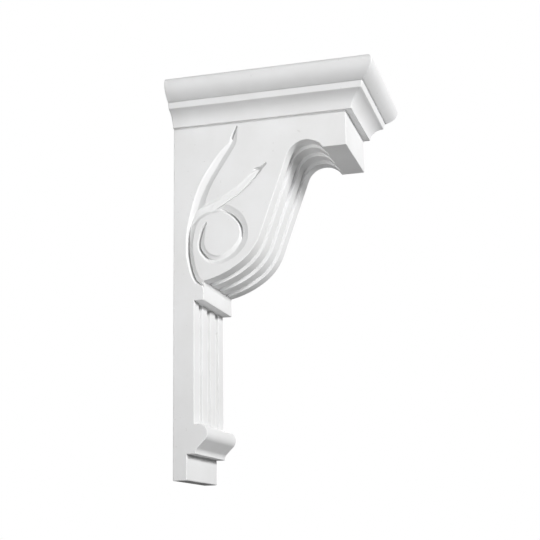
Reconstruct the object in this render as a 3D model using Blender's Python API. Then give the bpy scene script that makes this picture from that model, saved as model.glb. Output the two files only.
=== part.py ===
"""Decorative wall bracket: one moulded body, white primed, fixed flat to a wall.

Frame: metres, +Z up. The flat back lies in the plane Y = 0 and the front looks
along -Y. X runs across the width and the piece is symmetric about X = 0.
The origin is on the back, at the middle of the wall face.

Outlines are written as (out, up) pairs in millimetres, where out is the distance
from the wall and up is the height above the foot. Each corner may carry a radius.
"""

import math

import bmesh
import bpy
from mathutils import Matrix, Vector

MM = 0.001
NAME = "bracket"

# overall sizes, in millimetres
HEIGHT = 326.7
BODY_WIDTH = 76.5
HALF = BODY_WIDTH / 2
MOUNT_UP = 165.0  # height of the origin above the foot

# foot and ogee block
FOOT_OUT = 11.5
FOOT_UP = 20.3
OGEE_NECK_OUT = 18.7
OGEE_OUT = 28.5
OGEE_TOP = 43.8
OGEE_ROUND = 7.4
OGEE_HOLLOW = 5.6

# pilaster and abacus block
PILASTER_OUT = 17.7
ABACUS_OUT = 25.7
ABACUS_UNDER = 142.7
ABACUS_REACH = (100.0, 190.0)  # heights between which the abacus stays whole behind its front

# front of the scroll, from the abacus up: skirt arc, belly arc, straight run, cove
COVE_CENTRE = (112.7, 252.4)
COVE_RADIUS = 16.6
RUN_ANGLE = 70.0
RUN_FOOT_UP = 193.5
BELLY_RADIUS = 46.0
BELLY_ANGLE = 36.0
SKIRT_RADIUS = 81.0
SKIRT_OUT = 27.3  # where the skirt starts, just proud of the abacus
NOSE_OUT = 146.3
NOSE_UNDER = 261.2
BODY_TOP = 300.0  # the body ends inside the crown

# fillets and flutes: seven bands across the width, as parts of it
FILLET = 0.16
FLUTE = 0.12
FLUTE_DEPTH = 3.0
FLUTE_RUNOUT = 12.0  # length over which a flute fades below the nose
FLUTE_LAST_DEPTH = 0.8
FLUTE_STEP_SHARE = 0.87  # steps along a flute as a share of those along the scroll, so the two don't line up
FLUTE_BACK_OUT = 8.0  # a scroll flute's line starts this near the wall, and is cut off at the abacus front

# crown moulding: its base stands proud of the body, and the profile steps out from there
CROWN_PROUD = 2.6
CROWN_OUT = 151.9
CROWN_UNDER = 290.4
CAVETTO_RADIUS = 17.5
CAVETTO_FOOT = 0.7
BAND_UNDER = 303.7
BAND_OUT = 10.5
BAND_TOP = 308.6
BAND_LEAN = 1.3
OVOLO_RADIUS = 14.3
OVOLO_OUT = 21.7
OVOLO_WIDEST = 322.0
TOP_ROUND = 4.6

# sunk vine scroll on each side panel. A station is (out, up, left, right, depth): a point
# on the deepest line, the widths to the groove's two edges, and the depth there.
STEM = (
    (29.0, 152.6, 1.2, 3.4, 0.3),
    (18.8, 159.6, 1.6, 4.0, 0.9),
    (13.7, 176.0, 1.8, 3.8, 1.1),
    (12.8, 190.0, 1.8, 3.8, 1.1),
    (14.2, 204.5, 2.0, 5.2, 1.1),
    (21.4, 221.0, 5.2, 5.2, 1.1),
    (31.2, 243.0, 6.2, 3.0, 1.3),
    (42.4, 260.2, 5.0, 3.1, 1.3),
    (49.4, 271.4, 2.2, 3.5, 1.1),
    (51.4, 278.2, 1.1, 2.9, 1.0),
    (55.3, 287.8, 0.25, 0.3, 0.3),
)
RING = (
    (15.4, 202.6, 0.5, 0.5, 0.4),
    (24.4, 212.6, 5.2, 2.8, 1.0),
    (39.0, 217.0, 4.4, 1.8, 1.1),
    (52.6, 208.9, 6.1, 1.2, 1.2),
    (58.8, 195.5, 4.8, 1.1, 1.2),
    (53.6, 184.2, 4.2, 1.6, 1.2),
    (40.6, 176.8, 5.0, 2.0, 1.2),
    (28.2, 178.2, 3.2, 3.8, 1.2),
    (22.1, 187.8, 1.3, 4.5, 1.1),
    (24.8, 200.5, 1.0, 2.4, 0.9),
    (28.0, 206.2, 0.25, 0.25, 0.3),
)
BRANCH = (
    (22.5, 213.8, 0.6, 0.6, 0.5),
    (30.0, 217.4, 4.2, 3.0, 1.0),
    (43.6, 222.9, 5.2, 1.4, 1.1),
    (57.2, 230.2, 5.6, 1.2, 1.2),
    (68.6, 240.6, 5.0, 1.1, 1.2),
    (73.7, 246.4, 2.6, 0.9, 1.0),
    (78.9, 252.2, 0.25, 0.25, 0.3),
)
GROOVE_STEPS = 6  # sections between two stations
GROOVE_PROUD = 0.25  # how far a groove's walls carry on above the panel

ARC_STEP = 9.0  # degrees of arc to a facet


def rounded(corners, step=ARC_STEP):
    """The outline through these (out, up, radius) corners, with an arc at each that has a radius."""
    points = []
    for i, (x, y, radius) in enumerate(corners):
        corner = Vector((x, y))
        before = (Vector(corners[i - 1][:2]) - corner).normalized()
        after = (Vector(corners[(i + 1) % len(corners)][:2]) - corner).normalized()
        turn = math.pi - before.angle(after)
        if radius <= 0 or turn < 1e-4:
            points.append((x, y))
            continue
        reach = radius * math.tan(turn / 2)
        centre = corner + (before + after).normalized() * (radius / math.cos(turn / 2))
        first = corner + before * reach - centre
        count = max(2, round(math.degrees(turn) / step)) if radius > 2 else 3
        side = 1 if before.x * after.y - before.y * after.x < 0 else -1
        for k in range(count + 1):
            angle = side * turn * k / count
            spoke = Matrix.Rotation(angle, 2) @ first
            points.append(tuple(centre + spoke))
    return points


def arc(centre, radius, start, end, step=ARC_STEP):
    """Points of an arc, with the angles in degrees from the +out direction."""
    count = max(1, math.ceil(abs(end - start) / step))
    angles = (math.radians(start + (end - start) * k / count) for k in range(count + 1))
    return [(centre[0] + radius * math.cos(a), centre[1] + radius * math.sin(a)) for a in angles]


def hollow(a, b, radius, steps):
    """Points of the arc of this radius from a to b that bends in towards the upper left."""
    a, b = Vector(a), Vector(b)
    half = (b - a).length / 2
    along = (b - a).normalized()
    centre = (a + b) / 2 + Vector((along.y, -along.x)) * math.sqrt(radius**2 - half**2)
    turn = 2 * math.asin(half / radius)
    return [tuple(centre + Matrix.Rotation(-turn * k / steps, 2) @ (a - centre)) for k in range(steps + 1)]


def scroll_front(start, share=1.0):
    """The front line of the scroll up to the nose, from the start out given, in steps of this share."""
    run = math.radians(RUN_ANGLE)
    top = Vector(COVE_CENTRE) + COVE_RADIUS * Vector((-math.sin(run), math.cos(run)))
    foot = top - Vector((math.cos(run), math.sin(run))) * (top.y - RUN_FOOT_UP) / math.sin(run)
    belly = foot + BELLY_RADIUS * Vector((-math.sin(run), math.cos(run)))
    knee = math.radians(BELLY_ANGLE)
    join = belly + BELLY_RADIUS * Vector((math.sin(knee), -math.cos(knee)))
    skirt = join + SKIRT_RADIUS * Vector((-math.sin(knee), math.cos(knee)))
    first = math.degrees(math.asin((start - skirt.x) / SKIRT_RADIUS))
    last = math.degrees(math.asin((NOSE_UNDER - COVE_CENTRE[1]) / COVE_RADIUS))
    points = arc(skirt, SKIRT_RADIUS, first - 90, BELLY_ANGLE - 90, 4.0 * share)
    points += arc(belly, BELLY_RADIUS, BELLY_ANGLE - 90, RUN_ANGLE - 90, 5.0 * share)[1:]
    points += [tuple(foot.lerp(top, k * share / 3)) for k in (1, 2)]
    points += arc(COVE_CENTRE, COVE_RADIUS, RUN_ANGLE + 90, last, 8.0 * share)
    return points


def crown_profile():
    """(step out, up) of the crown moulding, from its underside to its top."""
    lip = BAND_OUT + BAND_LEAN
    first = -math.degrees(math.acos((lip - OVOLO_OUT + OVOLO_RADIUS) / OVOLO_RADIUS))
    points = [(0.0, CROWN_UNDER)]
    points += hollow((0.0, CROWN_UNDER + CAVETTO_FOOT), (BAND_OUT - 0.3, BAND_UNDER - 0.4), CAVETTO_RADIUS, 6)
    points += [(BAND_OUT, BAND_UNDER), (lip, BAND_TOP)]
    points += arc((OVOLO_OUT - OVOLO_RADIUS, OVOLO_WIDEST), OVOLO_RADIUS, first + 3, 0, 10)
    points += arc((OVOLO_OUT - TOP_ROUND, HEIGHT - TOP_ROUND), TOP_ROUND, 0, 90, 15)
    return points


def mesh_object(name, bm, collection):
    bmesh.ops.recalc_face_normals(bm, faces=bm.faces)
    mesh = bpy.data.meshes.new(name)
    bm.to_mesh(mesh)
    bm.free()
    made = bpy.data.objects.new(name, mesh)
    collection.objects.link(made)
    return made


def as_mesh(curve_object, collection):
    """The same shape as a mesh, with its caps welded to its sides."""
    bpy.context.view_layer.update()
    graph = bpy.context.evaluated_depsgraph_get()
    mesh = bpy.data.meshes.new_from_object(curve_object.evaluated_get(graph))
    bm = bmesh.new()
    bm.from_mesh(mesh)
    bpy.data.meshes.remove(mesh)
    bmesh.ops.transform(bm, matrix=curve_object.matrix_world, verts=bm.verts)
    bmesh.ops.remove_doubles(bm, verts=bm.verts, dist=1e-6)
    name = curve_object.name
    bpy.data.objects.remove(curve_object)
    return mesh_object(name, bm, collection)


def slab(name, outline, columns, half, centre, collection):
    """A flat outline in millimetres, given a thickness of twice half about centre."""
    curve = bpy.data.curves.new(name, "CURVE")
    curve.dimensions = "2D"
    curve.fill_mode = "BOTH"
    curve.extrude = half * MM
    spline = curve.splines.new("POLY")
    spline.points.add(len(outline) - 1)
    for point, (x, y) in zip(spline.points, outline):
        point.co = (x * MM, y * MM, 0, 1)
    spline.use_cyclic_u = True
    made = bpy.data.objects.new(name, curve)
    made.matrix_world = Matrix.Translation(Vector(centre) * MM) @ Matrix(columns).transposed().to_4x4()
    collection.objects.link(made)
    return as_mesh(made, collection)


# columns give where the outline's own x, y and thickness point in the object's frame
ACROSS = ((0, -1, 0), (0, 0, 1), (-1, 0, 0))  # outline (out, up), thickness across the width
OUTWARD = ((1, 0, 0), (0, 0, 1), (0, -1, 0))  # outline (across, up), thickness away from the wall


def tube(name, route, radius, collection):
    """A round cutter along a route of (across, out, up) points."""
    curve = bpy.data.curves.new(name, "CURVE")
    curve.dimensions = "3D"
    curve.bevel_depth = radius * MM
    curve.bevel_resolution = 10
    curve.use_fill_caps = True
    spline = curve.splines.new("POLY")
    spline.points.add(len(route) - 1)
    for point, (x, out, up) in zip(spline.points, route):
        point.co = (x * MM, -out * MM, up * MM, 1)
    made = bpy.data.objects.new(name, curve)
    collection.objects.link(made)
    return as_mesh(made, collection)


def flute_centres():
    """Positions across the width of the three flutes between the four fillets."""
    return [((FILLET + FLUTE) * (k + 1) - FLUTE / 2 - 0.5) * BODY_WIDTH for k in range(3)]


def flute_radius():
    half = FLUTE * BODY_WIDTH / 2
    return (half * half + FLUTE_DEPTH * FLUTE_DEPTH) / (2 * FLUTE_DEPTH)


def flute_route(front, radius):
    """The line a scroll flute's cutter follows: off the front by less where the flute is deep."""
    lengths = [0.0]
    for a, b in zip(front, front[1:]):
        lengths.append(lengths[-1] + math.dist(a, b))
    route = []
    for i, (out, up) in enumerate(front):
        a, b = front[max(i - 1, 0)], front[min(i + 1, len(front) - 1)]
        along = (Vector(b) - Vector(a)).normalized()
        away = Vector((along.y, -along.x))
        left = min(1.0, (lengths[-1] - lengths[i]) / FLUTE_RUNOUT)
        fade = left * left * (3 - 2 * left)
        depth = FLUTE_LAST_DEPTH + (FLUTE_DEPTH - FLUTE_LAST_DEPTH) * fade
        route.append(tuple(Vector((out, up)) + away * (radius - depth)))
    last = Vector(route[-1]) + (Vector(route[-1]) - Vector(route[-2])).normalized() * 2.0
    return route + [tuple(last)]


def smooth(values, t):
    """A smooth line through the values, read at t from 0 to the last index."""
    i = min(int(t), len(values) - 2)
    u = t - i
    p1, p2 = values[i], values[i + 1]
    p0 = values[i - 1] if i else 2 * p1 - p2
    p3 = values[i + 2] if i + 2 < len(values) else 2 * p2 - p1
    return 0.5 * (2 * p1 + (p2 - p0) * u + (2 * p0 - 5 * p1 + 4 * p2 - p3) * u * u + (3 * p1 - p0 - 3 * p2 + p3) * u**3)


def groove(name, stations, side, lip, collection):
    """A cutter for one sunk stroke: a loft of sections that change along it.

    side is -1 or 1 for the panel. lip is how much of the depth is reached just inside
    the left edge, so 0 gives a plain slope from the left edge to the deepest line.
    """
    columns = list(zip(*stations))
    last = len(stations) - 1
    rows = []
    for k in range(last * GROOVE_STEPS + 1):
        t = k / GROOVE_STEPS
        out, up, left, right, depth = (smooth(column, t) for column in columns)
        ahead, behind = min(t + 0.25, last), max(t - 0.25, 0)
        along = Vector([smooth(columns[c], ahead) - smooth(columns[c], behind) for c in (0, 1)]).normalized()
        aside = Vector((-along.y, along.x))
        rise = GROOVE_PROUD / depth
        section = (
            (left * (1 + 0.22 * rise / (0.22 + lip)), -GROOVE_PROUD),
            (left * 0.78, depth * (0.22 + lip)),
            (0.0, depth),
            (-right * (1 + rise), -GROOVE_PROUD),
        )
        rows.append([(out + aside.x * w, up + aside.y * w, HALF - d) for w, d in section])
    bm = bmesh.new()
    rings = [[bm.verts.new((side * x * MM, -out * MM, up * MM)) for out, up, x in row] for row in rows]
    for a, b in zip(rings, rings[1:]):
        for i in range(len(a)):
            j = (i + 1) % len(a)
            bm.faces.new((a[i], a[j], b[j], b[i]))
    bm.faces.new(rings[0])
    bm.faces.new(rings[-1])
    bmesh.ops.triangulate(bm, faces=bm.faces)
    return mesh_object(name, bm, collection)


def joined(name, pieces, collection):
    """One cutter from several that don't touch."""
    bm = bmesh.new()
    for piece in pieces:
        bm.from_mesh(piece.data)
        bpy.data.objects.remove(piece)
    return mesh_object(name, bm, collection)


def boolean(target, other, operation):
    modifier = target.modifiers.new(other.name, "BOOLEAN")
    modifier.operation = operation
    modifier.solver = "EXACT"
    modifier.object = other


def applied(made):
    """Makes the evaluated shape the object's own mesh."""
    bpy.context.view_layer.update()
    graph = bpy.context.evaluated_depsgraph_get()
    mesh = bpy.data.meshes.new_from_object(made.evaluated_get(graph))
    made.modifiers.clear()
    old = made.data
    made.data = mesh
    bpy.data.meshes.remove(old)
    mesh.name = made.name


def collection_named(name):
    made = bpy.data.collections.new(name)
    bpy.context.scene.collection.children.link(made)
    return made


def primer():
    material = bpy.data.materials.new("white_primer")
    material.use_nodes = True
    shader = material.node_tree.nodes["Principled BSDF"]
    shader.inputs["Base Color"].default_value = (0.82, 0.82, 0.81, 1)
    shader.inputs["Roughness"].default_value = 0.55
    shader.inputs["Metallic"].default_value = 0.0
    return material


def body_block(collection):
    """Foot, ogee block, pilaster, abacus and scroll as one side view, as wide as the body."""
    front = scroll_front(SKIRT_OUT)
    outline = rounded(
        [
            (0, 0, 0.8),
            (FOOT_OUT, 0, 1.0),
            (FOOT_OUT, FOOT_UP, 0),
            (OGEE_NECK_OUT, FOOT_UP, 0.5),
            (OGEE_NECK_OUT, FOOT_UP + 3.1, OGEE_HOLLOW),
            (OGEE_OUT, FOOT_UP + 3.1 + OGEE_OUT - OGEE_NECK_OUT, OGEE_ROUND),
            (OGEE_OUT, OGEE_TOP, OGEE_ROUND),
            (PILASTER_OUT, OGEE_TOP, 0),
            (PILASTER_OUT, ABACUS_UNDER, 0),
            (ABACUS_OUT, ABACUS_UNDER, 0.5),
            (ABACUS_OUT, front[0][1] - 0.1, 0),
            (0, front[0][1] - 0.1, 0),
        ]
    )[:-1]
    outline += front
    outline += rounded(
        [(front[-1][0], NOSE_UNDER, 0), (NOSE_OUT, NOSE_UNDER, 0.8), (NOSE_OUT, BODY_TOP, 0), (0, BODY_TOP, 0)]
    )[1:]
    return slab("body_block", outline, ACROSS, HALF, (0, 0, 0), collection)


def pilaster_flutes(collection):
    radius = flute_radius()
    height = ABACUS_UNDER - OGEE_TOP
    bm = bmesh.new()
    for x in flute_centres():
        centre = Vector((x, -(PILASTER_OUT + radius - FLUTE_DEPTH), OGEE_TOP + height / 2)) * MM
        bmesh.ops.create_cone(
            bm,
            cap_ends=True,
            segments=32,
            radius1=radius * MM,
            radius2=radius * MM,
            depth=height * MM,
            matrix=Matrix.Translation(centre),
        )
    return mesh_object("pilaster_flutes", bm, collection)


def scroll_flutes(collection):
    """The flutes of the scroll, which stop at the plane of the abacus front."""
    radius = flute_radius()
    route = flute_route(scroll_front(FLUTE_BACK_OUT, FLUTE_STEP_SHARE), radius)
    tubes = [
        tube(f"scroll_flute_{k}", [(x, out, up) for out, up in route], radius, collection)
        for k, x in enumerate(flute_centres())
    ]
    flutes = joined("scroll_flutes", tubes, collection)
    low, high = ABACUS_REACH
    kept = [(-20, low), (ABACUS_OUT, low), (ABACUS_OUT, high), (-20, high)]
    boolean(flutes, slab("abacus_keep", kept, ACROSS, 60, (0, 0, 0), collection), "DIFFERENCE")
    applied(flutes)
    return flutes


def crown_block(collection):
    """The mitred crown: what the front view and the side view of it have in common."""
    profile = crown_profile()
    across = [(HALF + CROWN_PROUD + step, up) for step, up in profile]
    front_view = across + [(-x, up) for x, up in reversed(across)]
    side_view = [(CROWN_OUT + step, up) for step, up in profile] + [(0, HEIGHT), (0, CROWN_UNDER)]
    block = slab("crown_block", side_view, ACROSS, 90, (0, 0, 0), collection)
    other = slab("crown_across", front_view, OUTWARD, 120, (0, -100, 0), collection)
    boolean(block, other, "INTERSECT")
    applied(block)
    return block


def vine(side, tag, collection):
    """The whole sunk scroll of one side panel, as one cutter."""
    made = groove(f"vine_{tag}", STEM, side, 0.0, collection)
    boolean(made, groove(f"ring_{tag}", RING, side, 0.0, collection), "UNION")
    applied(made)
    boolean(made, groove(f"branch_{tag}", BRANCH, side, 0.4, collection), "UNION")
    applied(made)
    return made


def main():
    for old in list(bpy.data.objects):
        bpy.data.objects.remove(old)
    parts = collection_named("decorative_bracket")
    cutters = collection_named("cutters")

    bracket = body_block(cutters)
    boolean(bracket, crown_block(cutters), "UNION")
    applied(bracket)
    sunk = [pilaster_flutes(cutters), scroll_flutes(cutters)]
    sunk += [vine(side, tag, cutters) for side, tag in ((-1, "left"), (1, "right"))]
    boolean(bracket, joined("sunk_work", sunk, cutters), "DIFFERENCE")
    applied(bracket)
    cutters.objects.unlink(bracket)
    parts.objects.link(bracket)
    bracket.name = NAME
    bracket.data.name = NAME
    bracket.data.transform(Matrix.Translation((0, 0, -MOUNT_UP * MM)))
    bracket.data.materials.clear()
    bracket.data.materials.append(primer())
    bracket.data.shade_smooth()
    bracket.data.set_sharp_from_angle(angle=math.radians(32))

    for helper in cutters.objects:
        helper.hide_render = True
        helper.display_type = "WIRE"
        helper.matrix_world = Matrix.Translation((0, 0, -MOUNT_UP * MM))
    cutters.hide_render = True


main()
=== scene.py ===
"""The finished look of the decorative bracket: one moulded body in white primer.

Row frame: metres, +Z up, the flat back in the plane Y = 0, the front towards -Y,
the origin on the back, 165 mm above the foot. Outlines are (out, up) pairs in
millimetres: out from the wall, up from the foot.
"""

import math

import bmesh
import bpy
import numpy as np
from mathutils import Matrix, Vector
from mathutils.geometry import delaunay_2d_cdt


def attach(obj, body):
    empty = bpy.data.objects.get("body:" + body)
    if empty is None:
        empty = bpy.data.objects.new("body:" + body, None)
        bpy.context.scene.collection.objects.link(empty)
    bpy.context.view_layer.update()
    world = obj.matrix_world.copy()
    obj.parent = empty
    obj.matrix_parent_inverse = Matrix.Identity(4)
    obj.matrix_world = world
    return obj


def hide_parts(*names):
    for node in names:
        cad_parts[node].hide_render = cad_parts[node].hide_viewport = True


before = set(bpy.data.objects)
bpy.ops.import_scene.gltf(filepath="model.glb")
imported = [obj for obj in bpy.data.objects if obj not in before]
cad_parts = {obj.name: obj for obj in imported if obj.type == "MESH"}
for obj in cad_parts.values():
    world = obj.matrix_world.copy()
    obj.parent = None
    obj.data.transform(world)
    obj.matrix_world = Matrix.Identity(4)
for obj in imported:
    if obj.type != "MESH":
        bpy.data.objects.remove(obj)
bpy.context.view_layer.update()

MM = 0.001

# sizes of the body, in millimetres
HEIGHT = 326.7
BODY_WIDTH = 76.5
HALF = BODY_WIDTH / 2
MOUNT_UP = 165.0
FOOT_OUT = 11.5
FOOT_UP = 20.3
OGEE_NECK_OUT = 18.7
OGEE_OUT = 28.5
OGEE_TOP = 43.8
OGEE_ROUND = 7.4
OGEE_HOLLOW = 5.6
PILASTER_OUT = 17.7
ABACUS_OUT = 25.7
ABACUS_UNDER = 142.7
COVE_CENTRE = (112.7, 252.4)
COVE_RADIUS = 16.6
RUN_ANGLE = 70.0
RUN_FOOT_UP = 193.5
BELLY_RADIUS = 46.0
BELLY_ANGLE = 36.0
SKIRT_RADIUS = 81.0
SKIRT_OUT = 27.3
NOSE_OUT = 146.3
NOSE_UNDER = 261.2
BODY_TOP = 298.0

# fillets and flutes
FILLET = 0.16
FLUTE = 0.12
FLUTE_DEPTH = 3.0
FLUTE_WALL = 5.7  # steepness of a flute's sides, as depth over width
FLUTE_FLOOR = 0.86  # depth of the floor at its sides, as a share of its middle
FLUTE_RUNOUT = 12.0
FLUTE_LAST_DEPTH = 0.8
ARRIS = 0.55  # radius of the edge between a fillet and a flute

# crown
CROWN_PROUD = 2.6
CROWN_OUT = 151.9
CROWN_UNDER = 290.4
CAVETTO_RADIUS = 17.5
CAVETTO_FOOT = 0.7
BAND_UNDER = 303.7
BAND_OUT = 10.5
BAND_TOP = 308.6
BAND_LEAN = 1.3
OVOLO_RADIUS = 14.3
OVOLO_OUT = 21.7
OVOLO_LEAN = 34.0  # slope of its lower edge above level
OVOLO_WIDEST = 322.0
TOP_ROUND = 4.6
MITRE_ROUND = 1.0

EDGE = 0.6  # radius of the moulded edges of the body
SMALL_EDGE = 0.4
CROWN_BACK_ROUND = 0.9  # of the crown's ends, where they meet the wall

# sunk vine scroll: (out, up, left, right, depth, crease) along each stroke, where the point is on
# the deepest line, left and right are the widths to the edges, and crease is a narrow extra cut
STEM = (
    (29.0, 152.6, 1.2, 3.4, 0.3, 0.0),
    (18.8, 159.6, 1.6, 4.0, 1.2, 0.8),
    (13.7, 176.0, 1.8, 3.8, 1.5, 1.0),
    (12.8, 190.0, 1.8, 3.8, 1.5, 1.0),
    (14.2, 204.5, 2.0, 5.2, 1.5, 0.2),
    (20.9, 221.0, 4.7, 5.4, 1.5, 0.0),
    (24.3, 230.4, 5.0, 4.7, 1.6, 0.0),
    (30.4, 243.3, 5.2, 4.5, 1.7, 0.0),
    (41.6, 260.7, 4.4, 4.4, 1.6, 0.0),
    (46.6, 268.0, 3.0, 4.3, 1.5, 0.0),
    (49.4, 272.4, 1.7, 4.3, 1.4, 0.0),
    (50.6, 275.8, 0.7, 4.3, 1.3, 0.1),
    (51.0, 278.6, 1.1, 4.1, 1.2, 0.9),
    (52.9, 282.6, 0.9, 2.5, 1.0, 1.0),
    (54.9, 286.5, 0.25, 0.3, 0.3, 0.7),
)
RING = (
    (31.5, 216.4, 3.0, 2.4, 2.0, 0.0),
    (39.2, 217.2, 4.6, 2.2, 2.3, 0.0),
    (46.8, 213.9, 5.6, 1.6, 2.1, 0.35),
    (53.2, 208.2, 6.0, 1.2, 1.9, 0.9),
    (57.1, 201.5, 5.6, 1.1, 1.8, 1.0),
    (58.1, 195.6, 5.3, 1.3, 1.6, 0.6),
    (57.4, 190.2, 5.3, 1.9, 1.4, 0.0),
    (54.8, 184.9, 4.8, 2.9, 1.4, 0.0),
    (50.2, 179.8, 4.0, 3.5, 1.7, 0.0),
    (41.2, 175.1, 3.5, 3.3, 2.2, 0.0),
    (33.2, 175.2, 3.2, 3.9, 2.2, 0.0),
    (26.6, 179.2, 2.2, 4.0, 1.8, 0.8),
    (22.1, 187.8, 1.3, 4.5, 1.4, 1.0),
    (24.8, 200.5, 1.0, 2.4, 1.1, 1.0),
    (28.0, 206.2, 0.25, 0.25, 0.3, 0.6),
)
BRANCH = (
    (31.5, 215.9, 6.7, 1.2, 2.1, 0.0),
    (38.0, 219.0, 6.2, 1.2, 2.5, 0.0),
    (43.6, 222.4, 5.6, 1.2, 2.3, 0.1),
    (50.4, 226.4, 5.5, 1.2, 2.0, 0.2),
    (57.2, 230.4, 5.4, 1.2, 1.7, 0.3),
    (68.6, 240.6, 5.0, 1.1, 1.4, 0.3),
    (73.0, 245.6, 2.8, 0.9, 1.1, 0.5),
    (75.2, 248.2, 0.9, 0.8, 0.8, 0.6),
    (78.9, 252.2, 0.25, 0.25, 0.3, 0.4),
)
NICK = (
    (69.2, 247.7, 0.3, 0.3, 0.2, 0.05),
    (70.9, 248.3, 0.6, 0.6, 0.7, 0.7),
    (74.7, 249.1, 0.8, 0.7, 0.9, 0.8),
    (78.9, 252.2, 0.25, 0.25, 0.3, 0.6),
)
STROKES = (  # stations; how much of the depth is reached just inside the left edge, and that side's hollowness
    (STEM, 0.0, 0.58),
    (RING, 0.0, 0.9),
    (BRANCH, 0.4, 1.0),
    (NICK, 0.0, 1.0),
)
SIDE_HOLLOW = 0.8  # below 1, the right side of a stroke is hollow
CREASE_DEPTH = 4.0
CREASE_HALF = 0.78
CREASE_ROWS = (-1.02, -0.86, -0.74, -0.6, -0.4, 0.0, 0.4, 0.6, 0.74, 0.86, 1.02)
CREASE_STEP = 0.4

# the wide hollow where the stem parts into ring and branch: its depth, and its edges as
# (out, up, width of the slope down from the edge there)
FORK_DEPTH = 1.5
FORK_FALL = 0.06  # more depth for each millimetre out of the stem's valley
FORK_LEFT = ((12.1, 199.0, 2.0), (12.3, 204.5, 2.3), (14.0, 212.0, 3.9), (16.3, 221.3, 5.2), (18.4, 228.0, 5.6))
FORK_ISLAND = (
    (18.4, 197.0, 5.0),
    (19.3, 201.3, 5.0),
    (21.2, 206.3, 4.6),
    (24.2, 209.8, 4.2),
    (28.4, 212.4, 3.8),
    (33.0, 214.0, 3.2),
    (38.6, 215.2, 2.6),
    (44.0, 213.0, 2.0),
)
FORK_TOP = ((21.6, 219.6, 1.2), (28.0, 221.9, 1.2), (34.7, 224.8, 1.2), (41.3, 227.7, 1.2), (47.8, 231.0, 1.2))
FORK_ENDS = (30.0, 44.0, 199.5, 205.5)  # where the hollow fades out: towards the branch, and down the stem
FIELD_LOW = (4.0, 146.0)  # corner of the sunk work's depth map, and its step
FIELD_SIZE = (84.0, 146.0)
FIELD_STEP = 0.1
FIELD_BLUR = 0.2
CREASE_BLUR = 0.1
PANEL_STEP = 0.6
FINE_STEP = 0.28
FINE_BEND = 0.35  # curvature of the depth map above which the panel's mesh is fine


# ---------------------------------------------------------------- outlines


def soft(corners):
    """The line through (out, up, radius, steps) corners, with an arc at each that has a radius."""
    points = []
    for i, (x, y, radius, steps) in enumerate(corners):
        if radius <= 0 or i == 0 or i == len(corners) - 1:
            points.append((x, y))
            continue
        corner = Vector((x, y))
        before = (Vector(corners[i - 1][:2]) - corner).normalized()
        after = (Vector(corners[i + 1][:2]) - corner).normalized()
        turn = math.pi - before.angle(after)
        reach = radius * math.tan(turn / 2)
        centre = corner + (before + after).normalized() * (radius / math.cos(turn / 2))
        first = corner + before * reach - centre
        side = 1 if before.x * after.y - before.y * after.x < 0 else -1
        for k in range(steps + 1):
            spoke = Matrix.Rotation(side * turn * k / steps, 2) @ first
            points.append(tuple(centre + spoke))
    return points


def arc(centre, radius, start, end, steps):
    angles = np.radians(np.linspace(start, end, steps + 1))
    return np.stack([centre[0] + radius * np.cos(angles), centre[1] + radius * np.sin(angles)], 1)


def hollow(a, b, radius, steps):
    """Points of the arc of this radius from a to b that bends in towards the upper left."""
    a, b = Vector(a), Vector(b)
    half = (b - a).length / 2
    along = (b - a).normalized()
    centre = (a + b) / 2 + Vector((along.y, -along.x)) * math.sqrt(radius**2 - half**2)
    turn = 2 * math.asin(half / radius)
    return [tuple(centre + Matrix.Rotation(-turn * k / steps, 2) @ (a - centre)) for k in range(steps + 1)]


def scroll_line():
    """Points of the scroll's front and their outward directions."""
    run = math.radians(RUN_ANGLE)
    away = np.array([-math.sin(run), math.cos(run)])
    cove = np.array(COVE_CENTRE)
    top = cove + COVE_RADIUS * away
    foot = top - np.array([math.cos(run), math.sin(run)]) * (top[1] - RUN_FOOT_UP) / math.sin(run)
    belly = foot + BELLY_RADIUS * away
    knee = math.radians(BELLY_ANGLE)
    join = belly + BELLY_RADIUS * np.array([math.sin(knee), -math.cos(knee)])
    skirt = join + SKIRT_RADIUS * np.array([-math.sin(knee), math.cos(knee)])
    first = math.degrees(math.asin((SKIRT_OUT - skirt[0]) / SKIRT_RADIUS))
    a = arc(skirt, SKIRT_RADIUS, first - 90, BELLY_ANGLE - 90, 26)
    b = arc(belly, BELLY_RADIUS, BELLY_ANGLE - 90, RUN_ANGLE - 90, 22)[1:]
    c = np.array([foot + (top - foot) * k / 16 for k in range(1, 16)])
    out = [(p, (p - skirt) / SKIRT_RADIUS) for p in a]
    out += [(p, (p - belly) / BELLY_RADIUS) for p in b]
    out += [(p, -away) for p in c]
    return np.array([p for p, _ in out]), np.array([n for _, n in out])


SCROLL, SCROLL_AWAY = scroll_line()
COVE_STEPS = 34
COVE_LAST = math.degrees(math.asin((NOSE_UNDER - COVE_CENTRE[1]) / COVE_RADIUS))
COVE_LENGTH = math.radians(RUN_ANGLE + 90 - COVE_LAST) * COVE_RADIUS


def scroll_depths():
    """How deep the flutes are along the scroll, in its own samples and then the cove's."""
    steps = np.linalg.norm(np.diff(SCROLL, axis=0), axis=1)
    run = np.concatenate([[0.0], np.cumsum(steps)])
    cove = run[-1] + steps[-1] + np.linspace(0, COVE_LENGTH, COVE_STEPS + 1)
    left = np.clip((cove[-1] - np.concatenate([run, cove])) / FLUTE_RUNOUT, 0, 1)
    return FLUTE_LAST_DEPTH + (FLUTE_DEPTH - FLUTE_LAST_DEPTH) * left * left * (3 - 2 * left)


SCROLL_DEPTH = scroll_depths()
FLUTE_HALF = FLUTE * BODY_WIDTH / 2 - 0.2  # between a flute's sides, without the rounded edges
FLUTE_CENTRES = [((FILLET + FLUTE) * (k + 1) - FLUTE / 2 - 0.5) * BODY_WIDTH for k in range(3)]


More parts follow.
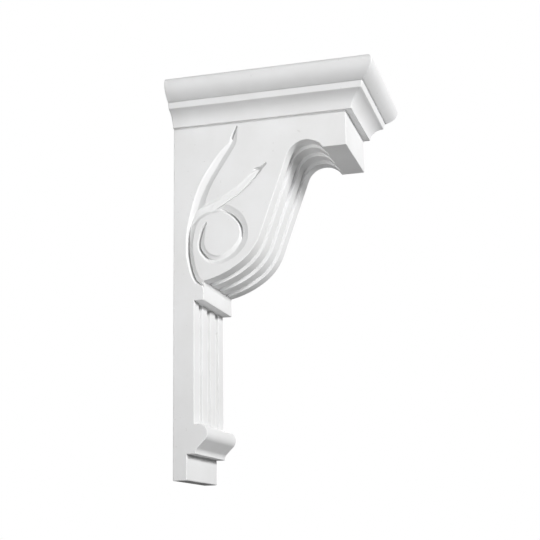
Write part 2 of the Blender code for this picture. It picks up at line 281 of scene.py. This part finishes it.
def flute_at(x, depth):
    """Depth of the flute at x across the width, where the flute is this deep in its middle."""
    depth = np.asarray(depth, float)
    aside = min(abs(x - c) for c in FLUTE_CENTRES)
    inside = FLUTE_HALF + ARRIS - aside
    if inside <= 0:
        return np.zeros_like(depth)
    upright = FLUTE_WALL / math.hypot(1, FLUTE_WALL)
    turn = min(inside / ARRIS, upright)
    wall = ARRIS * (1 - math.sqrt(1 - turn**2)) + FLUTE_WALL * max(inside - upright * ARRIS, 0)
    floor = depth * (1 - (1 - FLUTE_FLOOR) * (aside / FLUTE_HALF) ** 2)
    blend = 0.2 * depth * min(inside / ARRIS, 1)
    return np.maximum((wall + floor - np.sqrt((wall - floor) ** 2 + blend**2)) / 2, 0)


def profile(x):
    """The closed outline of the body at x across the width, always with the same number of points."""
    pilaster = float(flute_at(x, FLUTE_DEPTH))
    depth = flute_at(x, SCROLL_DEPTH)
    d0 = float(depth[0])
    top_neck = FOOT_UP + 3.1
    points = soft(
        [
            (0, 30, 0, 0),
            (0, 0, 0.9, 5),
            (FOOT_OUT, 0, 1.1, 6),
            (FOOT_OUT, 10, 0, 0),
            (FOOT_OUT, FOOT_UP, 0.35, 3),
            (OGEE_NECK_OUT, FOOT_UP, 0.6, 5),
            (OGEE_NECK_OUT, top_neck, OGEE_HOLLOW, 8),
            (OGEE_OUT, top_neck + OGEE_OUT - OGEE_NECK_OUT, OGEE_ROUND, 10),
            (OGEE_OUT, OGEE_TOP, OGEE_ROUND, 16),
            (PILASTER_OUT - pilaster, OGEE_TOP, 0.3, 3),
            (PILASTER_OUT - pilaster, 60, 0, 0),
            (PILASTER_OUT - pilaster, 80, 0, 0),
            (PILASTER_OUT - pilaster, 100, 0, 0),
            (PILASTER_OUT - pilaster, 120, 0, 0),
            (PILASTER_OUT - pilaster, 139, 0, 0),
            (PILASTER_OUT - pilaster, ABACUS_UNDER, 0.3, 3),
            (ABACUS_OUT, ABACUS_UNDER, 0.75, 5),
            (ABACUS_OUT, 147, 0, 0),
            (ABACUS_OUT, 151, 0, 0),
            (ABACUS_OUT, 155, 0, 0),
            (ABACUS_OUT, SCROLL[0][1] - 0.1 + 0.92 * d0, 0.25, 3),
            (SKIRT_OUT - 0.208 * d0, SCROLL[0][1] + 0.978 * d0, 0, 0),
        ]
    )[1:-1]
    n = len(SCROLL)
    line = SCROLL - SCROLL_AWAY * depth[:n, None]
    points += [tuple(p) for p in line]
    last = math.degrees(math.asin((NOSE_UNDER - COVE_CENTRE[1]) / (COVE_RADIUS + depth[-1])))
    angles = np.radians(np.linspace(RUN_ANGLE + 90, last, COVE_STEPS + 1))
    radii = COVE_RADIUS + depth[n:]
    points += list(zip(COVE_CENTRE[0] + radii * np.cos(angles), COVE_CENTRE[1] + radii * np.sin(angles)))
    points += soft(
        [
            points[-1] + (0, 0),
            (points[-1][0] + 0.5, NOSE_UNDER, 0, 0),
            (135, NOSE_UNDER, 0, 0),
            (NOSE_OUT, NOSE_UNDER, 0.9, 6),
            (NOSE_OUT, 270, 0, 0),
            (NOSE_OUT, 280, 0, 0),
            (NOSE_OUT, BODY_TOP, 0, 0),
            (0, BODY_TOP, 0, 0),
            (0, 285, 0, 0),
            (0, 200, 0, 0),
            (0, 100, 0, 0),
        ]
    )[1:]
    return np.array(points, float)


def miters(loop):
    """For each point of a closed outline, the way to move it so that both its sides move out by one."""
    ahead = np.roll(loop, -1, 0) - loop
    ahead /= np.linalg.norm(ahead, axis=1)[:, None]
    normal = np.stack([ahead[:, 1], -ahead[:, 0]], 1)
    before = np.roll(normal, 1, 0)
    return (normal + before) / (1 + (normal * before).sum(1))[:, None]


def edge_radii(loop):
    """The edge's radius at each point, less near a tight corner of the outline."""
    radii = np.full(len(loop), EDGE)
    for out, up, least in (
        (SKIRT_OUT, SCROLL[0][1], SMALL_EDGE),
        (OGEE_NECK_OUT, FOOT_UP, 0.5),
        (ABACUS_OUT, ABACUS_UNDER, 0.65),
        (COVE_CENTRE[0] + COVE_RADIUS * math.cos(math.radians(COVE_LAST)), NOSE_UNDER, 0.45),
    ):
        near = np.linalg.norm(loop - np.array([out, up]), axis=1)
        radii = np.minimum(radii, least + (EDGE - least) * np.clip(near / 3 - 0.5, 0, 1))
    return radii


# ---------------------------------------------------------------- sunk work


def smooth(values, t):
    i = min(int(t), len(values) - 2)
    u = t - i
    p1, p2 = values[i], values[i + 1]
    p0 = values[i - 1] if i else 2 * p1 - p2
    p3 = values[i + 2] if i + 2 < len(values) else 2 * p2 - p1
    return 0.5 * (2 * p1 + (p2 - p0) * u + (2 * p0 - 5 * p1 + 4 * p2 - p3) * u * u + (3 * p1 - p0 - 3 * p2 + p3) * u**3)


def blurred(field, sigma):
    reach = int(3 * sigma) + 1
    kernel = np.exp(-0.5 * (np.arange(-reach, reach + 1) / sigma) ** 2)
    kernel /= kernel.sum()
    for axis in (0, 1):
        field = np.apply_along_axis(lambda row: np.convolve(row, kernel, "same"), axis, field)
    return field


def slope_down(line, out, up):
    """How far down the slope from this edge each point is, 0 to 1: the line's inside is on its right."""
    best = np.full(out.shape, np.inf)
    level = np.zeros(out.shape)
    for (ax, ay, aw), (bx, by, bw) in zip(line, line[1:]):
        dx, dy = bx - ax, by - ay
        t = np.clip(((out - ax) * dx + (up - ay) * dy) / (dx * dx + dy * dy), 0, 1)
        px, py = out - ax - t * dx, up - ay - t * dy
        far = np.hypot(px, py)
        side = np.where(px * dy - py * dx > 0, 1.0, -1.0)
        closer = far < best
        best = np.where(closer, far, best)
        level = np.where(closer, side * far / (aw + t * (bw - aw)), level)
    return np.clip(level, 0, 1)


def fork_level(out, up):
    """Depth of the hollow at the fork."""
    left = slope_down(FORK_LEFT, out, up) ** STROKES[0][2]
    island = slope_down(FORK_ISLAND[::-1], out, up)
    island = island * island * (3 - 2 * island)
    top = slope_down(FORK_TOP, out, up)
    top = np.where(out < FORK_TOP[0][0], np.clip((FORK_TOP[0][1] + 3.5 - up) / 4.5, 0, 1), top)
    branch, fade, low, full = FORK_ENDS
    along = np.clip((fade - out) / (fade - branch), 0, 1)
    ends = along * along * (3 - 2 * along) * np.clip((up - low) / (full - low), 0, 1)
    depth = FORK_DEPTH + FORK_FALL * np.clip(out - FORK_TOP[0][0], 0, 18)
    return depth * np.minimum(np.minimum(left, island), top) * ends


def sunk_field():
    """Depth map of the sunk work: the deepest of its strokes, with the creases along them cut further."""
    size = [int(s / FIELD_STEP) + 1 for s in FIELD_SIZE]
    field = np.zeros(size)
    creases = np.zeros(size)

    def sink(layer, out, up, level):
        i = np.rint((out - FIELD_LOW[0]) / FIELD_STEP).astype(int)
        j = np.rint((up - FIELD_LOW[1]) / FIELD_STEP).astype(int)
        kept = (i >= 0) & (i < size[0]) & (j >= 0) & (j < size[1])
        np.maximum.at(layer, (i[kept], j[kept]), level[kept])

    for stations, lip, bow in STROKES:
        columns = list(zip(*stations))
        last = len(stations) - 1
        t = np.linspace(0, last, int(last * 16 / FIELD_STEP * 1.6))
        out, up, left, right, depth, crease = (np.array([smooth(c, v) for v in t]) for c in columns)
        along = np.stack([np.gradient(out), np.gradient(up)], 1)
        along /= np.linalg.norm(along, axis=1)[:, None]
        aside = np.stack([-along[:, 1], along[:, 0]], 1)
        for w in np.linspace(-1, 1, 361):
            width = np.where(w > 0, left, right) * w
            if w > 0 and lip == 0:
                level = depth * (1 - w) ** bow
            elif w > 0.78:
                level = depth * (0.22 + lip) * (1 - w) / 0.22
            elif w > 0:
                level = depth * ((0.22 + lip) * w + (0.78 - w)) / 0.78
            else:
                level = depth * (1 + w) ** SIDE_HOLLOW
            sink(field, out + aside[:, 0] * width, up + aside[:, 1] * width, level)
        for w in np.linspace(-1, 1, 41):
            level = np.clip(crease, 0, 1) * CREASE_DEPTH * (1 - abs(w) ** 3)
            width = w * CREASE_HALF
            sink(creases, out + aside[:, 0] * width, up + aside[:, 1] * width, level)
    out = FIELD_LOW[0] + np.arange(size[0])[:, None] * FIELD_STEP + np.zeros(size)
    up = FIELD_LOW[1] + np.arange(size[1])[None, :] * FIELD_STEP + np.zeros(size)
    near = (out > 10) & (out < 45) & (up > 199) & (up < 231)
    field[near] = np.maximum(field[near], fork_level(out[near], up[near]))
    return blurred(field, FIELD_BLUR / FIELD_STEP) + blurred(creases, CREASE_BLUR / FIELD_STEP)


FIELD = sunk_field()


def bend_field():
    """How sharply the depth map bends, as the largest value within a short reach."""
    bend = np.zeros_like(FIELD)
    for axis in (0, 1):
        bend += np.abs(np.gradient(np.gradient(FIELD, FIELD_STEP, axis=axis), FIELD_STEP, axis=axis))
    wide = bend
    for shift in (2, 4):
        wide = np.maximum.reduce([np.roll(wide, s, axis) for axis in (0, 1) for s in (-shift, 0, shift)])
    return wide


BEND = bend_field()


def sunk_at(out, up):
    """Depth of the sunk work at these points."""
    i = (np.asarray(out) - FIELD_LOW[0]) / FIELD_STEP
    j = (np.asarray(up) - FIELD_LOW[1]) / FIELD_STEP
    inside = (i >= 0) & (i < FIELD.shape[0] - 1) & (j >= 0) & (j < FIELD.shape[1] - 1)
    i, j = np.where(inside, i, 0), np.where(inside, j, 0)
    a, b = i.astype(int), j.astype(int)
    u, v = i - a, j - b
    value = (
        FIELD[a, b] * (1 - u) * (1 - v)
        + FIELD[a + 1, b] * u * (1 - v)
        + FIELD[a, b + 1] * (1 - u) * v
        + FIELD[a + 1, b + 1] * u * v
    )
    return np.where(inside, value, 0.0)


def crease_points():
    """Rows of points along the creases, and the places that they cover."""
    rows, middle = [], []
    for stations, _, _ in STROKES:
        columns = list(zip(*stations))
        last = len(stations) - 1
        t = np.linspace(0, last, last * 200)
        out, up, _, _, _, crease = (np.array([smooth(c, v) for v in t]) for c in columns)
        run = np.concatenate([[0], np.cumsum(np.hypot(np.diff(out), np.diff(up)))])
        at = np.arange(0.2, run[-1], CREASE_STEP)
        x, y, c = (np.interp(at, run, v) for v in (out, up, crease))
        along = np.stack([np.gradient(x), np.gradient(y)], 1)
        along /= np.linalg.norm(along, axis=1)[:, None]
        kept = c > 0.04
        for k, w in enumerate(CREASE_ROWS):
            shift = (k % 2 - 0.5) * CREASE_STEP / 2
            rows.append(
                np.stack([x - along[:, 1] * w + along[:, 0] * shift, y + along[:, 0] * w + along[:, 1] * shift], 1)[kept]
            )
        middle.append(np.stack([x, y], 1)[kept])
    return np.concatenate(rows), np.concatenate(middle)


def panel_points(border):
    """Points inside the side panel: a coarse set around the sunk work, and a fine one where it bends sharply."""
    sets = []
    for step, fine in ((PANEL_STEP, False), (FINE_STEP, True)):
        rise = step * math.sqrt(3) / 2
        j, i = np.meshgrid(np.arange(int(FIELD_SIZE[1] / rise)), np.arange(int(FIELD_SIZE[0] / step)))
        out = (FIELD_LOW[0] + (i + 0.5 * (j % 2)) * step).ravel()
        up = (FIELD_LOW[1] + j * rise).ravel()
        a = np.clip(np.rint((out - FIELD_LOW[0]) / FIELD_STEP).astype(int), 0, FIELD.shape[0] - 1)
        b = np.clip(np.rint((up - FIELD_LOW[1]) / FIELD_STEP).astype(int), 0, FIELD.shape[1] - 1)
        sharp = BEND[a, b] > FINE_BEND
        if fine:
            kept = sharp
        else:
            kept = ~sharp & (sunk_at(out, up) > 0.01)
            for k in range(8):
                dx, dy = 0.9 * math.cos(k * math.pi / 4), 0.9 * math.sin(k * math.pi / 4)
                kept |= ~sharp & (sunk_at(out + dx, up + dy) > 0.01)
        sets.append(np.stack([out[kept], up[kept]], 1))
    points = np.concatenate(sets)
    rows, middle = crease_points()
    clear = np.ones(len(points), bool)
    for part in np.array_split(middle, 40):
        clear &= (np.hypot(points[:, :1] - part[:, 0], points[:, 1:] - part[:, 1]) > CREASE_ROWS[-1] + 0.1).all(1)
    points = np.concatenate([points[clear], rows])
    inside = np.ones(len(points), bool)
    turns = np.zeros(len(points), bool)
    for p, q in zip(border, np.roll(border, -1, 0)):
        d = q - p
        t = np.clip(((points - p) @ d) / (d @ d), 0, 1)
        inside &= np.linalg.norm(points - (p + t[:, None] * d), axis=1) > 0.25
        crosses = (p[1] > points[:, 1]) != (q[1] > points[:, 1])
        with np.errstate(divide="ignore", invalid="ignore"):
            at = p[0] + (points[:, 1] - p[1]) * d[0] / d[1]
        turns ^= crosses & (points[:, 0] < at)
    return points[inside & turns]


# ---------------------------------------------------------------- meshes


def columns_across():
    """Samples across the width: (x, angle round the edge), from the left side to the right."""
    offsets = [0, 1.5, 2.6, 3.2, 3.5, 3.66, 3.8, 3.92, 4.04, 4.16, 4.3, 4.4, 4.46, 4.54, 4.64, 4.76, 4.9, 5.1]
    flat = {0.0}
    for c in FLUTE_CENTRES:
        flat |= {round(c + s * o, 4) for o in offsets for s in (-1, 1)}
    limit = HALF - EDGE
    flat |= {-limit + 3, limit - 3}
    middle = sorted(x for x in flat if abs(x) < limit - 0.5)
    turns = [math.radians(a) for a in (0, 15, 30, 45, 60, 75, 90)]
    return [(-limit, a) for a in reversed(turns)] + [(x, None) for x in middle] + [(limit, a) for a in turns]


def body_mesh():
    base = profile(HALF)
    push = miters(base)
    radii = edge_radii(base)
    across = columns_across()
    count = len(base)
    verts = []
    for x, turn in across:
        if turn is None:
            line = profile(x)
            xs = np.full(count, x)
        else:
            side = math.copysign(1, x)
            line = base - push * (radii * (1 - math.cos(turn)))[:, None]
            reach = HALF - radii + radii * math.sin(turn)
            xs = side * np.minimum(reach, HALF - sunk_at(line[:, 0], line[:, 1]))
        verts += [(xs[i], line[i, 0], line[i, 1]) for i in range(count)]
    faces = []
    for c in range(len(across) - 1):
        for i in range(count):
            k = (i + 1) % count
            faces.append((c * count + i, c * count + k, (c + 1) * count + k, (c + 1) * count + i))
    border = base - push * radii[:, None]
    inner = panel_points(border)
    flat = [Vector(p) for p in border] + [Vector(p) for p in inner]
    cut = delaunay_2d_cdt(flat, [], [list(range(count))], 1, 1e-5)
    places, triangles, origins = cut[0], cut[2], cut[3]
    for side, ring in ((-1, 0), (1, (len(across) - 1) * count)):
        index = []
        for place, origin in zip(places, origins):
            known = [o for o in origin if o < count]
            if known:
                index.append(ring + known[0])
            else:
                index.append(len(verts))
                verts.append((side * (HALF - float(sunk_at(place.x, place.y))), place.x, place.y))
        faces += [tuple(index[i] for i in t) for t in triangles]
    return object_from("bracket_body", verts, faces)


def crown_profile():
    points = soft(
        [
            (-6.0, CROWN_UNDER, 0, 0),
            (0.0, CROWN_UNDER, 0.5, 4),
            (0.0, CROWN_UNDER + CAVETTO_FOOT, 0, 0),
        ]
    )
    hollow_end = (BAND_OUT - 0.3, BAND_UNDER - 0.4)
    points += hollow((0.0, CROWN_UNDER + CAVETTO_FOOT), hollow_end, CAVETTO_RADIUS, 16)[1:]
    lip = BAND_OUT + BAND_LEAN
    first = -math.degrees(math.acos((lip - OVOLO_OUT + OVOLO_RADIUS) / OVOLO_RADIUS))
    points += soft(
        [
            points[-1] + (0, 0),
            (BAND_OUT, BAND_UNDER, 0.2, 3),
            (BAND_OUT + BAND_LEAN * 0.2, BAND_UNDER + 1.0, 0, 0),
            (lip, BAND_TOP, 0.25, 3),
            (lip + 2.0, BAND_TOP + 1.0, 0, 0),
        ]
    )[1:-1]
    low = arc((OVOLO_OUT - OVOLO_RADIUS, OVOLO_WIDEST), OVOLO_RADIUS, first + 3, 0, 20)
    knee = np.array([OVOLO_OUT, low[0][1] + (OVOLO_OUT - low[0][0]) * math.tan(math.radians(OVOLO_LEAN))])
    points += [tuple((1 - t) ** 2 * low[0] + 2 * t * (1 - t) * knee + t * t * low[-1]) for t in np.linspace(0, 1, 21)]
    points += [tuple(p) for p in arc((OVOLO_OUT - TOP_ROUND, HEIGHT - TOP_ROUND), TOP_ROUND, 0, 90, 10)]
    return points


def crown_mesh():
    """The crown moulding carried round three sides, with slightly rounded mitres and ends."""
    rows = crown_profile()
    ends = [(CROWN_BACK_ROUND * (1 - math.sin(a)), CROWN_BACK_ROUND * (1 - math.cos(a))) for a in np.radians(np.linspace(0, 90, 6))]
    verts = []
    for step, up in rows:
        x, out = HALF + CROWN_PROUD + step, CROWN_OUT + step
        line = [(-(x - inset), back) for inset, back in ends] + [(-x, out * 0.5)]
        for side, first in ((-1, 180), (1, 90)):
            for k in range(7):
                a = math.radians(first - 90 * k / 6)
                line.append(
                    (side * (x - MITRE_ROUND) + MITRE_ROUND * math.cos(a), out - MITRE_ROUND + MITRE_ROUND * math.sin(a))
                )
        line += [(x, out * 0.5)] + [(x - inset, back) for inset, back in reversed(ends)]
        verts += [(px, po, up) for px, po in line]
    count = len(line)
    faces = []
    for r in range(len(rows) - 1):
        for i in range(count - 1):
            a = r * count + i
            faces.append((a, a + 1, a + count + 1, a + count))
    top = (len(rows) - 1) * count
    faces.append(tuple(range(count)))
    faces.append(tuple(top + i for i in range(count)))
    near = [r * count for r in range(len(rows))]
    far = [r * count + count - 1 for r in range(len(rows))]
    faces.append(tuple(near + far[::-1]))
    return object_from("bracket_crown", verts, faces)


def object_from(name, verts, faces):
    """A mesh object from (across, out, up) points in millimetres."""
    mesh = bpy.data.meshes.new(name)
    placed = [(x * MM, -out * MM, (up - MOUNT_UP) * MM) for x, out, up in verts]
    mesh.from_pydata(placed, [], faces)
    bm = bmesh.new()
    bm.from_mesh(mesh)
    bmesh.ops.dissolve_degenerate(bm, dist=1e-7, edges=bm.edges)
    bmesh.ops.recalc_face_normals(bm, faces=bm.faces)
    bm.to_mesh(mesh)
    bm.free()
    made = bpy.data.objects.new(name, mesh)
    bpy.context.scene.collection.objects.link(made)
    return made


def joined_bracket():
    bracket = body_mesh()
    crown = crown_mesh()
    modifier = bracket.modifiers.new("crown", "BOOLEAN")
    modifier.operation = "UNION"
    modifier.solver = "MANIFOLD"
    modifier.object = crown
    bpy.context.view_layer.update()
    mesh = bpy.data.meshes.new_from_object(bracket.evaluated_get(bpy.context.evaluated_depsgraph_get()))
    bracket.modifiers.clear()
    bracket.data = mesh
    bpy.data.objects.remove(crown)
    bracket.name = "moulded_bracket"
    mesh.name = "moulded_bracket"
    mesh.shade_smooth()
    mesh.set_sharp_from_angle(angle=math.radians(38))
    weighted = bracket.modifiers.new("normals", "WEIGHTED_NORMAL")
    weighted.keep_sharp = True
    weighted.weight = 60
    return bracket


# ---------------------------------------------------------------- finish


def primer():
    """White primer over a moulded skin: nearly even, with faint clouding and a very fine grain."""
    material = bpy.data.materials.new("white_primer")
    material.use_nodes = True
    nodes, links = material.node_tree.nodes, material.node_tree.links
    shader = nodes["Principled BSDF"]
    shader.inputs["Metallic"].default_value = 0.0
    shader.inputs["IOR"].default_value = 1.45
    shader.inputs["Specular IOR Level"].default_value = 0.35
    coordinates = nodes.new("ShaderNodeTexCoord")

    def noise(scale, detail, roughness):
        made = nodes.new("ShaderNodeTexNoise")
        made.inputs["Scale"].default_value = scale
        made.inputs["Detail"].default_value = detail
        made.inputs["Roughness"].default_value = roughness
        links.new(coordinates.outputs["Object"], made.inputs["Vector"])
        return made

    def ramp(source, low, high, dark, light):
        made = nodes.new("ShaderNodeMapRange")
        made.inputs["From Min"].default_value = low
        made.inputs["From Max"].default_value = high
        made.inputs["To Min"].default_value = dark
        made.inputs["To Max"].default_value = light
        links.new(source, made.inputs["Value"])
        return made

    clouds = noise(22, 4, 0.55)
    grain = noise(900, 3, 0.6)
    speck = noise(300, 1, 0.5)

    tint = nodes.new("ShaderNodeMix")
    tint.data_type = "RGBA"
    tint.inputs["A"].default_value = (0.722, 0.722, 0.719, 1)
    tint.inputs["B"].default_value = (0.766, 0.768, 0.771, 1)
    links.new(ramp(clouds.outputs["Fac"], 0.35, 0.65, 0, 1).outputs["Result"], tint.inputs["Factor"])
    dust = nodes.new("ShaderNodeMix")
    dust.data_type = "RGBA"
    dust.inputs["B"].default_value = (0.61, 0.605, 0.595, 1)
    links.new(tint.outputs["Result"], dust.inputs["A"])
    links.new(ramp(speck.outputs["Fac"], 0.74, 0.80, 0, 0.5).outputs["Result"], dust.inputs["Factor"])
    links.new(dust.outputs["Result"], shader.inputs["Base Color"])
    links.new(ramp(grain.outputs["Fac"], 0.3, 0.7, 0.50, 0.62).outputs["Result"], shader.inputs["Roughness"])

    bump = nodes.new("ShaderNodeBump")
    bump.inputs["Strength"].default_value = 0.12
    bump.inputs["Distance"].default_value = 0.0002
    links.new(grain.outputs["Fac"], bump.inputs["Height"])
    links.new(bump.outputs["Normal"], shader.inputs["Normal"])
    return material


def floor_finish():
    material = bpy.data.materials.new("pale_floor")
    material.use_nodes = True
    nodes, links = material.node_tree.nodes, material.node_tree.links
    shader = nodes["Principled BSDF"]
    shader.inputs["Roughness"].default_value = 0.9
    noise = nodes.new("ShaderNodeTexNoise")
    noise.inputs["Scale"].default_value = 3
    mix = nodes.new("ShaderNodeMix")
    mix.data_type = "RGBA"
    mix.inputs["A"].default_value = (0.84, 0.84, 0.84, 1)
    mix.inputs["B"].default_value = (0.87, 0.87, 0.87, 1)
    links.new(noise.outputs["Fac"], mix.inputs["Factor"])
    links.new(mix.outputs["Result"], shader.inputs["Base Color"])
    return material


# ---------------------------------------------------------------- studio


def aimed(obj, place, target):
    obj.location = place
    obj.rotation_euler = (Vector(target) - Vector(place)).to_track_quat("-Z", "Y").to_euler()


# soft lights: name, place and aim in metres, size, watts, and how wide a grid lets it fan out, in degrees
LIGHTS = (
    ("key", (-1.60, -2.63, 1.00), (0, -0.05, 0), 0.75, 103.5, 180),
    ("front", (1.302, -2.84, 0.45), (0, -0.05, 0), 0.75, 28.5, 180),
    ("side", (-0.99, 0.27, -0.28), (0, -0.08, 0.05), 0.3, 3.05, 180),
    ("far", (1.9, 0.35, 0.8), (0, -0.05, 0), 0.6, 9.0, 180),
    ("low_left", (-0.70, -0.10, -0.35), (0, -0.10, 0.13), 0.3, 0.13, 40),
    ("low_front", (0.35, -0.60, -0.35), (0, -0.10, 0.13), 0.3, 0.05, 40),
    ("rear", (0.45, 1.66, 1.20), (0, -0.05, 0), 0.8, 16.0, 180),
)
AROUND = 0.06


def studio():
    scene = bpy.context.scene
    scene.view_settings.view_transform = "Standard"
    scene.view_settings.look = "None"

    floor_mesh = bpy.data.meshes.new("floor")
    bm = bmesh.new()
    bmesh.ops.create_grid(bm, x_segments=4, y_segments=4, size=4.0)
    bm.to_mesh(floor_mesh)
    bm.free()
    floor = bpy.data.objects.new("floor", floor_mesh)
    scene.collection.objects.link(floor)
    floor.location = (0, 0, -1.4)
    floor.data.materials.append(floor_finish())
    floor.visible_diffuse = False

    for name, place, target, size, watts, fan in LIGHTS:
        light = bpy.data.lights.new(name, "AREA")
        light.shape = "DISK"
        light.size = size
        light.energy = watts
        light.spread = math.radians(fan)
        made = bpy.data.objects.new(name, light)
        made.visible_camera = False
        scene.collection.objects.link(made)
        aimed(made, place, target)

    world = bpy.data.worlds.new("studio")
    scene.world = world
    world.use_nodes = True
    nodes, links = world.node_tree.nodes, world.node_tree.links
    nodes.clear()
    output = nodes.new("ShaderNodeOutputWorld")
    rays = nodes.new("ShaderNodeLightPath")
    seen = nodes.new("ShaderNodeBackground")
    seen.inputs["Color"].default_value = (1, 1, 1, 1)
    around = nodes.new("ShaderNodeBackground")
    around.inputs["Strength"].default_value = AROUND
    mix = nodes.new("ShaderNodeMixShader")
    links.new(rays.outputs["Is Camera Ray"], mix.inputs["Fac"])
    links.new(around.outputs["Background"], mix.inputs[1])
    links.new(seen.outputs["Background"], mix.inputs[2])
    links.new(mix.outputs["Shader"], output.inputs["Surface"])


def camera():
    """The photograph's view: from below and to the left of the bracket's side."""
    yaw, pitch, roll = (math.radians(a) for a in (15.1835, 13.4958, -0.9322))
    ahead = Vector((math.cos(yaw) * math.cos(pitch), math.sin(yaw) * math.cos(pitch), math.sin(pitch)))
    right = Vector((math.sin(yaw), -math.cos(yaw), 0))
    up = right.cross(ahead)
    right, up = right * math.cos(roll) + up * math.sin(roll), up * math.cos(roll) - right * math.sin(roll)
    data = bpy.data.cameras.new("photo_view")
    data.sensor_width = 36
    data.lens = 78.42
    data.clip_start = 0.01
    data.clip_end = 50
    made = bpy.data.objects.new("photo_view", data)
    bpy.context.scene.collection.objects.link(made)
    place = Matrix((right, up, -ahead)).transposed().to_4x4()
    place.translation = Vector((-0.91506, -0.31934, -0.22024))
    made.matrix_world = place
    bpy.context.scene.camera = made


studio()
camera()
bracket = joined_bracket()
bracket.data.materials.clear()
bracket.data.materials.append(primer())
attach(bracket, "root")
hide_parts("bracket")
